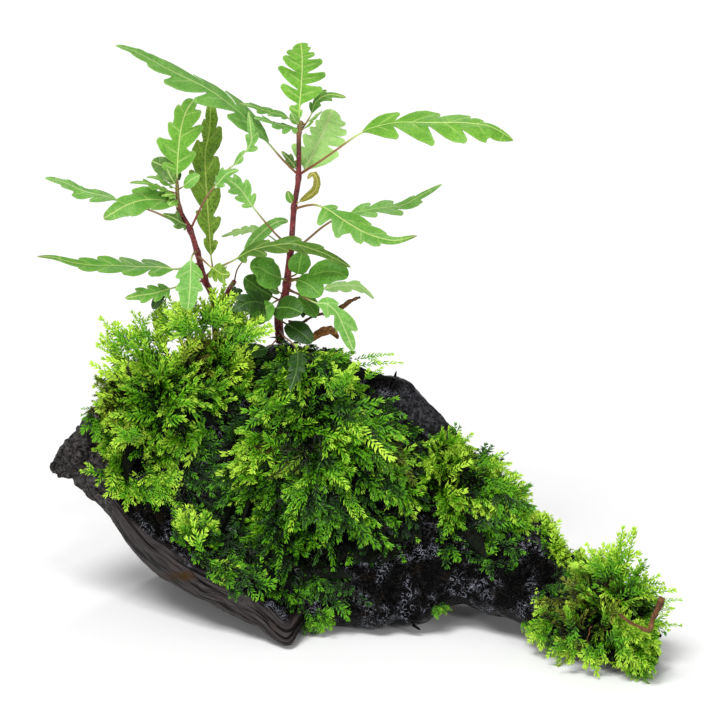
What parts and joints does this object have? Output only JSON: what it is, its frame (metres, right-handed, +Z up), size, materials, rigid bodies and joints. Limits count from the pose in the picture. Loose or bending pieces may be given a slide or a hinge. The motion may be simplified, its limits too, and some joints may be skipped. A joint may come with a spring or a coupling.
{
  "type": "hygrophila on driftwood",
  "caption": "Red-stemmed water plants with deeply lobed leaves and feathery moss growing on a boat-shaped piece of wet black driftwood with a tapering arm.",
  "frame": {"origin": "centre of the part's footprint on the surface it stands on", "axes": "+X to the right along the wood towards its arm, +Y away from the viewer, +Z up"},
  "size_m": [0.2578, 0.1493, 0.2358],
  "materials": {
    "wet_wood": "near-black soaked wood, wet gloss inside the hollow, matte grey-brown grain along the front lip",
    "moss_bright": "yellow-green feathery moss shoots, slightly moist sheen",
    "moss_deep": "mid to deep green feathery moss shoots, moist sheen",
    "stem_red": "maroon, finely hairy, satin",
    "dry_brown": "dry brown, matte",
    "leaf_bright": "fresh green blade, satin, pale veins",
    "leaf_blue_green": "blue-green blade, satin, pale midrib",
    "leaf_deep": "deep green blade, satin",
    "leaf_pale": "pale underside of a blade, matte",
    "leaf_speckled": "olive blade with dark speckles and light veins",
    "leaf_dying": "yellow-green turning brown, curled, matte"
  },
  "bodies": {
    "root": {"brown_twig": "dry_brown", "dead_leaf_on_crest": "dry_brown", "driftwood_arm": "wet_wood", "driftwood_body": "wet_wood", "driftwood_left_knob": "wet_wood", "dry_leaf_stalk": "dry_brown", "leaf_crossing": "leaf_bright", "leaf_dark_front": "leaf_deep", "leaf_dark_hanging": "leaf_deep", "leaf_dark_lobed_left": "leaf_deep", "leaf_dark_long": "leaf_deep", "leaf_left_brown_tipped": "leaf_bright", "leaf_left_folded_behind": "leaf_pale", "leaf_left_front_drooping": "leaf_blue_green", "leaf_left_long_low": "leaf_bright", "leaf_left_long_thin": "leaf_blue_green", "leaf_left_olive_curled": "leaf_speckled", "leaf_left_small_pale": "leaf_pale", "leaf_left_small_right": "leaf_blue_green", "leaf_left_speckled": "leaf_speckled", "leaf_left_thin_tip": "leaf_bright", "leaf_left_top": "leaf_bright", "leaf_left_twisted": "leaf_blue_green", "leaf_left_wide": "leaf_bright", "leaf_lobed_drooping": "leaf_blue_green", "leaf_main_behind": "leaf_pale", "leaf_main_curled": "leaf_dying", "leaf_main_left_long": "leaf_blue_green", "leaf_main_left_low": "leaf_blue_green", "leaf_main_pale_behind": "leaf_pale", "leaf_main_right_drooping": "leaf_bright", "leaf_main_right_long": "leaf_bright", "leaf_main_right_rising": "leaf_blue_green", "leaf_main_top": "leaf_bright", "leaf_main_top_left_lower": "leaf_blue_green", "leaf_main_top_left_upper": "leaf_bright", "leaf_main_top_right": "leaf_bright", "leaf_narrow_folded": "leaf_blue_green", "leaf_pale_right_thin": "leaf_pale", "leaf_round_front": "leaf_deep", "leaf_round_left_lower": "leaf_deep", "leaf_round_left_upper": "leaf_deep", "leaf_round_right": "leaf_deep", "leaf_round_right_lower": "leaf_deep", "leaf_round_upright": "leaf_deep", "moss_bank_middle": "moss_deep", "moss_bank_right": "moss_deep", "moss_heap_left": "moss_bright", "moss_strip_arm_edge": "moss_bright", "moss_tuft_arm_end": "moss_bright", "moss_tuft_low_left": "moss_deep", "stem_left": "stem_red", "stem_main": "stem_red", "stem_short": "stem_red"}
  },
  "joints": []
}
